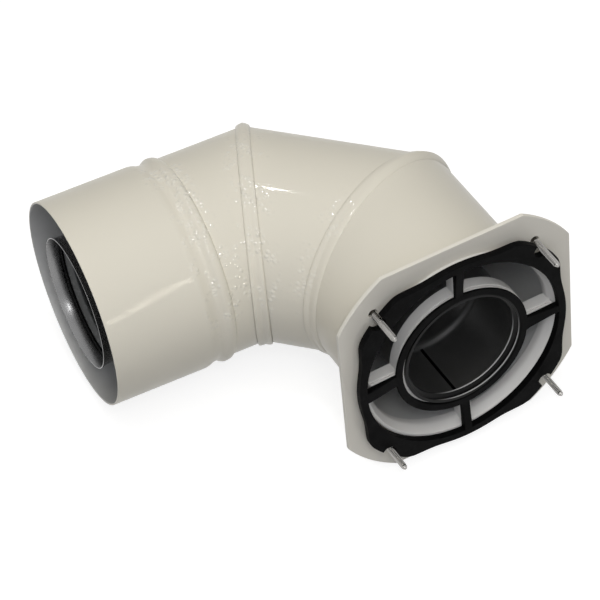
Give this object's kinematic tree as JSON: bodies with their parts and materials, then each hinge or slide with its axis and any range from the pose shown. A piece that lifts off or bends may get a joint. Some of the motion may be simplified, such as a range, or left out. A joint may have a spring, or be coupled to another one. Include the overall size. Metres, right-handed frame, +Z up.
{
  "type": "flue elbow",
  "caption": "Concentric flue elbow: painted air duct in mitred, beaded sections round a metal flue, with an open socket and a square flange carrying a rubber gasket and loose fixing screws.",
  "frame": {"origin": "centre of the flange plate's front face", "axes": "-Y out of the flange face, the way the screws point; +Z up as the elbow lies in the picture, across the plane of the bend; the socket mouth faces -X, 3 degrees round towards +Y"},
  "size_m": [0.203, 0.1927, 0.122],
  "materials": {
    "cream_paint": "glossy cream-white stove paint, slight orange peel",
    "pale_casting": "satin pale grey",
    "gasket_rubber": "matt black moulded rubber",
    "seal_rubber": "glossy black lip rubber",
    "flue_metal": "plain drawn metal, dulled inside",
    "spring_steel": "bright strip",
    "screw_zinc": "bright zinc plate"
  },
  "bodies": {
    "elbow": {"air_collar": "cream_paint", "collar_bead": "cream_paint", "air_gore_1": "cream_paint", "mitre_bead_2": "cream_paint", "air_gore_2": "cream_paint", "mitre_bead_3": "cream_paint", "air_outlet": "cream_paint", "flange_plate": "cream_paint", "spider": "pale_casting", "gasket": "gasket_rubber", "inlet_seal": "seal_rubber", "flue_inlet": "flue_metal", "flue_gore": "flue_metal", "flue_mouth": "flue_metal", "flue_seam_1": "flue_metal", "flue_seam_2": "flue_metal", "mouth_seal": "seal_rubber", "centring_clip": "spring_steel"},
    "screw_tl": {"screw_tl": "screw_zinc"},
    "screw_tr": {"screw_tr": "screw_zinc"},
    "screw_bl": {"screw_bl": "screw_zinc"},
    "screw_br": {"screw_br": "screw_zinc"}
  },
  "joints": [
    {"name": "screw_tl_slide", "type": "slide", "parent": "elbow", "child": "screw_tl", "axis": [0, 1, 0], "range_m": [0, 0.02]},
    {"name": "screw_tr_slide", "type": "slide", "parent": "elbow", "child": "screw_tr", "axis": [0, 1, 0], "range_m": [0, 0.02]},
    {"name": "screw_bl_slide", "type": "slide", "parent": "elbow", "child": "screw_bl", "axis": [0, 1, 0], "range_m": [0, 0.02]},
    {"name": "screw_br_slide", "type": "slide", "parent": "elbow", "child": "screw_br", "axis": [0, 1, 0], "range_m": [0, 0.02]}
  ]
}
